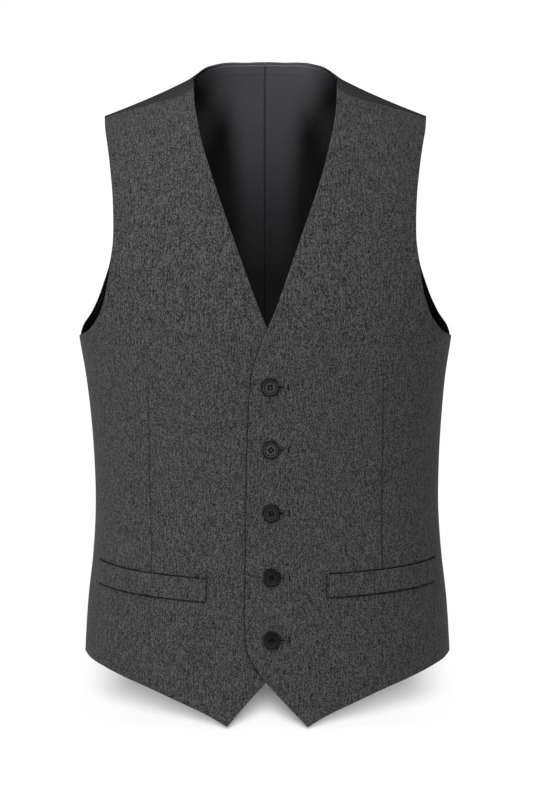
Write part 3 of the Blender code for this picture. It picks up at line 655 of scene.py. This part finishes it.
BACK_WALL = 0.0012
LINING_WALL = 0.0010
LAYER_GAP = 0.0003
LINING_SET_BACK = 0.0022
BACK_HEM_DROP = 0.012
NECK_FACING = 0.0095
SEWN_IN = 0.0003
HEM_PLACES = 9
# how near the shoulder seam the lining's edges run back to the back's own
EDGE_IN_FADE = 0.02
# how bluntly a fold dies out at its ends, below 1
FOLD_END_POWER = 0.8
# half width, distance behind the ridge
NECK_BEHIND = (
    (0.0702, 0.004), (0.0690, 0.014), (0.0664, 0.026), (0.0588, 0.045), (0.0510, 0.056), (0.0431, 0.063),
    (0.0352, 0.067), (0.0200, 0.0705), (0.0000, 0.0715),
)
ARMHOLE_BEHIND = (
    (0.1795, -0.2421), (0.1712, -0.2269), (0.1648, -0.2118), (0.1598, -0.1967), (0.1553, -0.1817),
    (0.1518, -0.1600), (0.1504, -0.1350), (0.1503, -0.1100), (0.1520, -0.0850), (0.1548, -0.0600),
    (0.1574, -0.0430),
)
# Soft troughs and ridges of the hanging satin: across and up of both ends, half width, height.
BACK_FOLDS = (
    (0.012, -0.285, 0.010, 0.060, 0.0075, -0.0021),
    (0.030, -0.300, 0.022, -0.020, 0.0090, 0.0015),
    (0.052, -0.310, 0.047, -0.090, 0.0110, -0.0018),
    (0.083, -0.300, 0.070, -0.120, 0.0120, 0.0017),
    (0.118, -0.240, 0.095, -0.060, 0.0110, -0.0016),
    (0.160, -0.150, 0.100, -0.010, 0.0100, -0.0020),
    (0.175, -0.110, 0.115, 0.060, 0.0100, 0.0014),
    (-0.014, -0.300, -0.011, 0.020, 0.0080, -0.0016),
    (-0.034, -0.290, -0.028, -0.060, 0.0100, 0.0017),
    (-0.060, -0.305, -0.050, -0.110, 0.0110, -0.0021),
    (-0.092, -0.270, -0.078, -0.070, 0.0120, 0.0014),
    (-0.125, -0.250, -0.105, -0.100, 0.0110, -0.0015),
    (-0.165, -0.140, -0.105, 0.010, 0.0100, -0.0019),
    (-0.180, -0.090, -0.125, 0.070, 0.0110, 0.0013),
)


def on_form_from_above(places):
    """The across and up of places behind the ridge, seen from above."""
    half_width, behind = np.array(places, float).T
    low, high = np.zeros(len(behind)), np.full(len(behind), RIDGE_UP)
    for _ in range(HALVINGS):
        up = (low + high) / 2
        climb, closing = over_shoulder(False, up)
        level = ARMHOLE_LEVEL * (1 - climb)
        across, depth = across_of(half_width, level)
        deep = depth * closing * read(BODY, level, 3) > behind
        low, high = np.where(deep, up, low), np.where(deep, high, up)
    return np.stack((across, up), axis=-1)


def back_outline(hem_rise, edge_in):
    """Half of the back. The lining's hem, neck and armhole edges are set in a little."""
    turn = (math.pi - SIDE_SEAM_TURN) * TURN_RADIUS
    side = np.array(((turn, SIDE_HEM - ARMHOLE_LEVEL + hem_rise),
                     (turn, UNDERARM - ARMHOLE_LEVEL - edge_in)))
    share = np.linspace(0, 1, HEM_PLACES)
    hem = drawn(np.column_stack((turn * share, side[0, 1] - BACK_HEM_DROP * (1 - ease(share)))))
    shoulder = on_form(-1, SHOULDER_SEAM) * (1, -1) + (0, 2 * RIDGE_UP)
    neck = drawn(np.concatenate((on_form_from_above(NECK_BEHIND[::-1]), shoulder[:1])))
    armhole = drawn(np.concatenate((side[1:], on_form(1, ARMHOLE_BEHIND), shoulder[-1:])))
    for edge, fixed in ((neck, 1), (armhole, -1)):
        step = np.gradient(edge, axis=0)
        inward = np.column_stack((step[:, 1], -step[:, 0])) * fixed
        inward /= np.linalg.norm(inward, axis=1)[:, None]
        fade = np.minimum(1, (lengths(edge)[-1] - lengths(edge)) / EDGE_IN_FADE)
        edge += inward * (edge_in * fade)[:, None]
    neck[0, 0] = 0.0
    centre = drawn(np.array((neck[0], hem[0])))
    edges = {"side": drawn(side), "shoulder": drawn(shoulder[::-1]), "neck": neck, "centre": centre}
    return joined(hem, edges["side"], armhole, edges["shoulder"], neck[::-1], centre), edges


def facing_line(neck):
    """The line, one facing's width down from the neck edge, where its facing is sewn to the lining."""
    step = np.gradient(neck, axis=0)
    down = np.column_stack((step[:, 1], -step[:, 0])) / np.linalg.norm(step, axis=1)[:, None]
    line = neck + down * NECK_FACING
    return line[line[:, 0] > SEWN_IN]


def folds(rows, across, up):
    """Height of soft troughs and ridges, each dying out towards its ends."""
    total = np.zeros(len(across))
    places = np.column_stack((across, up))
    for a0, u0, a1, u1, width, height in rows:
        line = np.linspace((a0, u0), (a1, u1), 2)
        away, along = distance_to(places, line)
        total += height * np.exp(-(away / width) ** 2) * np.sin(math.pi * along) ** FOLD_END_POWER
    return total


def back_lift(flat, across, up):
    return folds(BACK_FOLDS, across, up)


def lining_lift(flat, across, up):
    return folds(BACK_FOLDS, across, up) - BACK_WALL - LAYER_GAP


back_satin = satin("back_satin", (0.042, 0.042, 0.044), 0.36, 0.45)
for hand, mirror in (("right", -1), ("left", 1)):
    outline, edges = back_outline(0.0, 0.0)
    seams = [(edges["centre"] + (SEWN_IN, 0), 0.0007, 0.0002, 0.7, 0.0),
             (edges["side"] - (SEWN_IN, 0), 0.0007, 0.0, 0.8, 0.0),
             (edges["shoulder"], 0.0007, 0.0, 0.8, 0.0)]
    back = cloth("satin_back_" + hand, 1, mirror, outline, seams, back_lift, BACK_WALL,
                 (back_satin, lining_satin, lining_satin))
    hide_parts("back_" + hand)
    outline, edges = back_outline(LINING_SET_BACK, LINING_SET_BACK)
    seams = [(edges["centre"] + (SEWN_IN, 0), 0.0007, 0.0, 0.8, 0.0),
             (facing_line(edges["neck"]), 0.0006, 0.0, 0.25, 0.0)]
    lining = cloth("satin_lining_" + hand, 1, mirror, outline, seams, lining_lift, LINING_WALL,
                   (lining_satin, lining_satin, lining_satin))
    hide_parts("back_lining_" + hand)


# ------------------------------------------------------------------------------------------------
# The welt pockets. Each welt is a folded strip of the same wool, its lower edge seamed into the front,
# its ends stitched down, its upper edge free over the pocket's mouth.
# ------------------------------------------------------------------------------------------------

WELT_THICKNESS = 0.0011

for hand, mirror, corners in (("right", -1, WELT_RIGHT), ("left", 1, WELT_LEFT)):
    def welt_lift(flat, across, up):
        return lap_lift(mirror, across, up) + LAYER_GAP + WELT_THICKNESS

    welt = cloth("wool_welt_" + hand, -1, mirror, joined(*welt_edges(corners)), [], welt_lift,
                 WELT_THICKNESS, (wool, wool, wool))
    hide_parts("welt_pocket_" + hand)


# ------------------------------------------------------------------------------------------------
# The buttonholes, worked by hand in the left front from under each button. Purl stitches of dull silk
# lie side by side along both lips of the slit, and a bar of black thread stands just past its inner end.
# ------------------------------------------------------------------------------------------------

PURL_PITCH = 0.00062
PURL_LENGTH = 0.0019
PURL_WIDTH, PURL_HEIGHT = 0.00056, 0.00050
PURL_COUNT = 20
PURL_START = 0.0005
PURL_OFF_SLIT = 0.00175
PURL_LEAN = math.radians(-8)
TACK_AT = 0.0170
TACK_HEIGHT = 0.0054
TACK_WIDTH = 0.0014
TACK_COUNT = 10
# how far a stitch's middle stands off the cloth, as a share of PURL_HEIGHT
PURL_RISE, TACK_RISE = 0.30, 0.35
STITCH_SIDES, STITCH_RINGS = 8, 5


def spun(name, dull, bright, across_scale):
    """Thread, with its ply as fine slanting bands. Reads Object coordinates."""
    made, tree, shader = new_material(name)
    place = tree.nodes.new("ShaderNodeTexCoord")
    ply = textured(tree, "Wave", place.outputs["Object"], Scale=across_scale, Distortion=1.0)
    ply.bands_direction = "DIAGONAL"
    tree.links.new(mixed(tree, ply.outputs["Fac"], dull, bright), shader.inputs["Base Color"])
    embossed(tree, shader, ply.outputs["Fac"], 0.5, 0.00008)
    shader.inputs["Roughness"].default_value = 0.6
    shader.inputs["Specular IOR Level"].default_value = 0.1
    return made


def repeated(piece, step, count, mirrored):
    """Applies a row of copies to the active piece, and their reflection across the slit where asked."""
    row = piece.modifiers.new("row", "ARRAY")
    row.use_relative_offset = False
    row.use_constant_offset = True
    row.constant_offset_displace = step
    row.count = count
    bpy.ops.object.modifier_apply(modifier="row")
    if mirrored:
        across_slit = piece.modifiers.new("across_slit", "MIRROR")
        across_slit.use_axis = (False, True, False)
        across_slit.use_mirror_merge = False
        bpy.ops.object.modifier_apply(modifier="across_slit")


def laid_on_left_front(mesh, across, up):
    """Drapes a mesh that is drawn flat round its own origin over the left front."""
    flat = np.empty(len(mesh.vertices) * 3, np.float32)
    mesh.vertices.foreach_get("co", flat)
    x, y, height = flat.reshape(-1, 3).astype(float).T
    along = form(-1, across + NUDGE, up) - form(-1, across - NUDGE, up)
    at_across = across + x * 2 * NUDGE / np.linalg.norm(along)
    at_up = up + y
    lift = lap_lift(1, at_across, at_up) + height
    points = form(-1, at_across, at_up) + outward(-1, at_across, at_up) * lift[:, None]
    mesh.vertices.foreach_set("co", points.astype(np.float32).ravel())


silk = spun("dull_grey_silk", (0.028, 0.028, 0.029), (0.065, 0.065, 0.067), 900.0)
black_thread = spun("black_thread", (0.001, 0.001, 0.001), (0.005, 0.005, 0.005), 700.0)

bpy.ops.object.select_all(action="DESELECT")
bpy.ops.mesh.primitive_uv_sphere_add(segments=STITCH_SIDES, ring_count=STITCH_RINGS, radius=0.5)
purls = bpy.context.object
purls.data.transform(Matrix.Translation((PURL_START, PURL_OFF_SLIT, PURL_HEIGHT * PURL_RISE))
                     @ Matrix.Rotation(PURL_LEAN, 4, "Z")
                     @ Matrix.Diagonal((PURL_WIDTH, PURL_LENGTH, PURL_HEIGHT, 1)))
repeated(purls, (PURL_PITCH, 0, 0), PURL_COUNT, True)
purls.data.materials.append(silk)
bpy.ops.object.select_all(action="DESELECT")
bpy.ops.mesh.primitive_uv_sphere_add(segments=STITCH_SIDES, ring_count=STITCH_RINGS, radius=0.5)
tack = bpy.context.object
tack.data.transform(Matrix.Translation((TACK_AT, -TACK_HEIGHT / 2, PURL_HEIGHT * TACK_RISE))
                    @ Matrix.Diagonal((TACK_WIDTH, PURL_WIDTH * 1.3, PURL_HEIGHT * 1.5, 1)))
repeated(tack, (0, TACK_HEIGHT / (TACK_COUNT - 1), 0), TACK_COUNT, False)
tack.data.materials.append(black_thread)
for number, (across, up) in enumerate(button_places, start=1):
    for pattern, kind in ((purls, "purl_stitches_%d"), (tack, "bar_tack_%d")):
        sewn = bpy.data.objects.new(kind % number, pattern.data.copy())
        bpy.context.scene.collection.objects.link(sewn)
        laid_on_left_front(sewn.data, across, up)
        sewn.data.shade_smooth()
        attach(sewn, "root")
for pattern in (purls, tack):
    bpy.data.objects.remove(pattern)


# ------------------------------------------------------------------------------------------------
# The buttons. Each is turned from dark horn-like resin, 26 ligne, with a raised rim, a groove, a dished
# middle and four holes, and is sewn on with black thread.
# ------------------------------------------------------------------------------------------------

# how far each button is turned round its own middle, in degrees
BUTTON_TURNS = (4, 42, 12, 20, 33)
# how pale each button's dished middle and its rim are painted: a painted reflection, paler on the upper
# buttons, which stand for more light from the room
BUTTON_PAINTED_REFLECTIONS = ((0.72, 0.52), (0.90, 0.58), (0.33, 0.42), (0.17, 0.28), (0.0, 0.20))
# share of the radius, and how pale the horn is painted there: the middle, the groove, the rim and the edge.
# The groove and edge are painted black for the shade in them, and the rim and the ring in the middle paler
# for the highlights they catch.
RINGS = ((0.0, 0.80), (0.44, 1.1), (0.61, 1.1), (0.64, 0.0), (0.71, 0.0), (0.75, 1.0), (0.86, 1.0),
         (0.89, 0.0))
RIM_FROM = 0.66
BUTTON_RADIUS = 0.0080
BUTTON_THICKNESS = 0.0030
# how far in from the last step, and how far up or down, each step of the turned face goes
FACE_STEPS = ((0.0013, 0.0), (0.0007, 0.0), (0.0004, -0.0015), (0.0004, 0.0), (0.0005, 0.0007),
              (0.0012, -0.0002), (0.0014, -0.0001))
# the widest band of the edge, as shares of the thickness, and how far the foot is drawn in
EDGE_TOP, EDGE_FOOT, FOOT_WIDTH = 0.50, 0.22, 0.93
POLISH = 0.00035
HOLE_RADIUS = 0.00100
HOLE_SPREAD = 0.00175
# one strand of thread between two holes, an ellipsoid: its length, width and height, and its level
STRAND_SIZE = (HOLE_SPREAD * 3.0, 0.001156, 0.0013)
STRAND_LEVEL = BUTTON_THICKNESS * 0.58


def select_top():
    """In edit mode, selects the highest level faces of the active mesh."""
    bpy.ops.object.mode_set(mode="OBJECT")
    mesh = bpy.context.object.data
    highest = max(vertex.co.z for vertex in mesh.vertices)
    for face in mesh.polygons:
        face.select = face.normal.z > 0.9 and face.center.z > highest - 1e-5
    bpy.ops.object.mode_set(mode="EDIT")


def horn(name):
    """Polished dark horn: a black edge and groove, painted for the shade in them, and a paler turned rim
    and middle, a painted highlight, with each button's paleness a painted reflection. Reads the face's map.
    """
    made, tree, shader = new_material(name)
    face = named_map(tree, "face")
    radius = tree.nodes.new("ShaderNodeVectorMath")
    radius.operation = "LENGTH"
    tree.links.new(face, radius.inputs[0])
    rings = ramped(tree, remapped(tree, radius.outputs["Value"], (0.0, BUTTON_RADIUS)), RINGS)
    cloudy = textured(tree, "Noise", face, Scale=330.0, Detail=3.0)
    pale = figured(tree, "MULTIPLY", rings, named_attribute(tree, "tone"))
    mottled = remapped(tree, cloudy.outputs["Fac"], after=(0.75, 1.25))
    share = figured(tree, "MULTIPLY", pale, mottled)
    colour = mixed(tree, share, (0.003, 0.003, 0.003), (0.066, 0.066, 0.066))
    tree.links.new(colour, shader.inputs["Base Color"])
    tree.links.new(remapped(tree, rings, after=(0.05, 0.30)), shader.inputs["Specular IOR Level"])
    shader.inputs["Roughness"].default_value = 0.30
    return made


resin = horn("dark_horn_resin")
bpy.ops.object.select_all(action="DESELECT")
bpy.ops.mesh.primitive_cylinder_add(vertices=72, radius=BUTTON_RADIUS, depth=BUTTON_THICKNESS,
                                    location=(0, 0, BUTTON_THICKNESS / 2))
pattern_button = bpy.context.object
bpy.ops.object.transform_apply(location=True, rotation=False, scale=False)
bpy.ops.object.mode_set(mode="EDIT")
select_top()
for inset, rise in FACE_STEPS:
    bpy.ops.mesh.inset(thickness=inset)
    bpy.ops.transform.translate(value=(0, 0, rise))
bpy.ops.object.mode_set(mode="OBJECT")
for vertex in pattern_button.data.vertices:
    if math.hypot(vertex.co.x, vertex.co.y) > BUTTON_RADIUS * 0.99:
        at_top = vertex.co.z > 0
        vertex.co.z = BUTTON_THICKNESS * (EDGE_TOP if at_top else EDGE_FOOT)
        if not at_top:
            vertex.co.x, vertex.co.y = vertex.co.x * FOOT_WIDTH, vertex.co.y * FOOT_WIDTH
polish = pattern_button.modifiers.new("polish", "BEVEL")
polish.width = POLISH
polish.segments = 3
polish.limit_method = "ANGLE"
polish.angle_limit = math.radians(20)
bpy.ops.object.modifier_apply(modifier="polish")
drills = []
for x in (-HOLE_SPREAD, HOLE_SPREAD):
    for y in (-HOLE_SPREAD, HOLE_SPREAD):
        bpy.ops.mesh.primitive_cylinder_add(vertices=20, radius=HOLE_RADIUS, depth=3 * BUTTON_THICKNESS,
                                            location=(x, y, 0))
        drills.append(bpy.context.object)
choose(*drills)
bpy.ops.object.join()
cut = pattern_button.modifiers.new("holes", "BOOLEAN")
cut.object = drills[0]
bpy.context.view_layer.objects.active = pattern_button
bpy.ops.object.modifier_apply(modifier="holes")
bpy.data.objects.remove(drills[0])
pattern_button.data.materials.clear()
pattern_button.data.materials.append(resin)
pattern_button.data.shade_smooth()
pattern_button.data.set_sharp_from_angle(angle=math.radians(40))
turned = pattern_button.data.uv_layers.new(name="face")
for loop, spot in zip(pattern_button.data.loops, turned.data):
    spot.uv = pattern_button.data.vertices[loop.vertex_index].co.xy

for number, button_place in enumerate(button_places, start=1):
    across, up = button_place[:, None]
    normal = Vector(outward(-1, across, up)[0])
    lift = float(lap_lift(1, across, up)[0]) + LAYER_GAP
    seat = Vector(form(-1, across, up)[0]) + normal * lift
    place = (Matrix.Translation(seat) @ normal.to_track_quat("Z", "Y").to_matrix().to_4x4()
             @ Matrix.Rotation(math.radians(BUTTON_TURNS[number - 1]), 4, "Z"))
    button = bpy.data.objects.new("resin_button_%d" % number, pattern_button.data.copy())
    bpy.context.scene.collection.objects.link(button)
    button.data.transform(place)
    # painted reflection: how pale this button's middle and rim are made
    middle_tone, rim_tone = BUTTON_PAINTED_REFLECTIONS[number - 1]
    tone = button.data.attributes.new("tone", "FLOAT", "POINT")
    tone.data.foreach_set("value", [
        rim_tone if math.hypot(*vertex.co.xy) > BUTTON_RADIUS * RIM_FROM else middle_tone
        for vertex in pattern_button.data.vertices])
    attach(button, "root")
    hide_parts("button_%d" % number)
    bpy.ops.object.select_all(action="DESELECT")
    strands = []
    for quarter in range(4):
        bpy.ops.mesh.primitive_uv_sphere_add(segments=10, ring_count=12, radius=0.5)
        strand = bpy.context.object
        strand.data.transform(Matrix.Rotation(math.radians(90 * quarter), 4, "Z")
                              @ Matrix.Translation((0, HOLE_SPREAD, STRAND_LEVEL))
                              @ Matrix.Diagonal((*STRAND_SIZE, 1)))
        strands.append(strand)
    choose(*strands)
    bpy.ops.object.join()
    stitched = bpy.context.object
    stitched.name = "button_thread_%d" % number
    stitched.data.transform(place)
    stitched.data.materials.append(black_thread)
    stitched.data.shade_smooth()
    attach(stitched, "root")
bpy.data.objects.remove(pattern_button)


# ------------------------------------------------------------------------------------------------
# The studio: a white floor just under the points, a soft box high in front, a smaller one low on the left,
# lights for the floor alone that draw its soft shadow, and a long lens level with the waist.
# ------------------------------------------------------------------------------------------------

EYE = (0.0005, -4.0, -0.316)
SENSOR_HEIGHT = 24.0
# the height that the picture takes in, and how far from the camera it does
SEEN_HEIGHT, SEEN_AT = 0.76, 3.885
FLOOR_HEIGHT = -0.631
FLOOR_FRONT = -2.0
FLOOR_SIZE = 400.0
WALL_LIGHT = 1.05
AIM = (0.0, 0.0, -0.30)
# lights for the floor alone, all from the front: elevation and width in degrees, energy
FLOOR_SUNS = ((3.0, 6.0, 18.8), (6.0, 6.0, 12.1), (9.0, 6.0, 5.4), (35.0, 50.0, 0.49))

camera = bpy.data.cameras.new("camera")
camera.sensor_fit = "VERTICAL"
camera.sensor_height = SENSOR_HEIGHT
camera.lens = SENSOR_HEIGHT * SEEN_AT / SEEN_HEIGHT
eye = bpy.data.objects.new("camera", camera)
eye.location = EYE
eye.rotation_euler = (math.radians(90), 0, 0)
bpy.context.scene.collection.objects.link(eye)
bpy.context.scene.camera = eye
bpy.context.scene.view_settings.view_transform = "Standard"

paper, _, matt = new_material("white_paper")
matt.inputs["Base Color"].default_value = (0.92, 0.92, 0.92, 1)
matt.inputs["Roughness"].default_value = 1.0
matt.inputs["Specular IOR Level"].default_value = 0.0
bpy.ops.object.select_all(action="DESELECT")
bpy.ops.mesh.primitive_plane_add(size=FLOOR_SIZE, location=(0, FLOOR_FRONT + FLOOR_SIZE / 2, FLOOR_HEIGHT))
floor = bpy.context.object
floor.name = "floor"
floor.data.materials.append(paper)

world = bpy.data.worlds.new("soft_room")
world.use_nodes = True
ray = world.node_tree.nodes.new("ShaderNodeLightPath")
backdrop = world.node_tree.nodes["Background"].inputs
backdrop["Color"].default_value = (1.0, 1.0, 1.0, 1)
world.node_tree.links.new(figured(world.node_tree, "MULTIPLY", ray.outputs["Is Camera Ray"], WALL_LIGHT),
                          backdrop["Strength"])
bpy.context.scene.world = world


def placed(light, location, towards, floor_state):
    """Adds a light. floor_state says whether the floor is the one thing it lights, or the one it leaves."""
    source = bpy.data.objects.new(light.name, light)
    source.location = location
    source.rotation_euler = Vector(towards).to_track_quat("-Z", "Y").to_euler()
    bpy.context.scene.collection.objects.link(source)
    lit = bpy.data.collections.new(light.name + "_lights")
    lit.objects.link(floor)
    lit.collection_objects[0].light_linking.link_state = floor_state
    source.light_linking.receiver_collection = lit


for name, location, size, energy in (("high_box", (-0.2, -1.0, 1.3), 1.0, 30.3),
                                     ("left_box", (-0.95, -0.95, -0.15), 0.8, 3.7)):
    box = bpy.data.lights.new(name, "AREA")
    box.size = size
    box.energy = energy
    placed(box, location, Vector(AIM) - Vector(location), "EXCLUDE")
for elevation, width, energy in FLOOR_SUNS:
    sun = bpy.data.lights.new("floor_sun", "SUN")
    sun.angle = math.radians(width)
    sun.energy = energy
    slope = math.radians(elevation)
    placed(sun, (0, 0, 0), (0, math.cos(slope), -math.sin(slope)), "INCLUDE")
floor_fill = bpy.data.lights.new("floor_fill", "SUN")
floor_fill.energy = 0.14
floor_fill.use_shadow = False
placed(floor_fill, (0, 0, 0), (0, 0, -1), "INCLUDE")
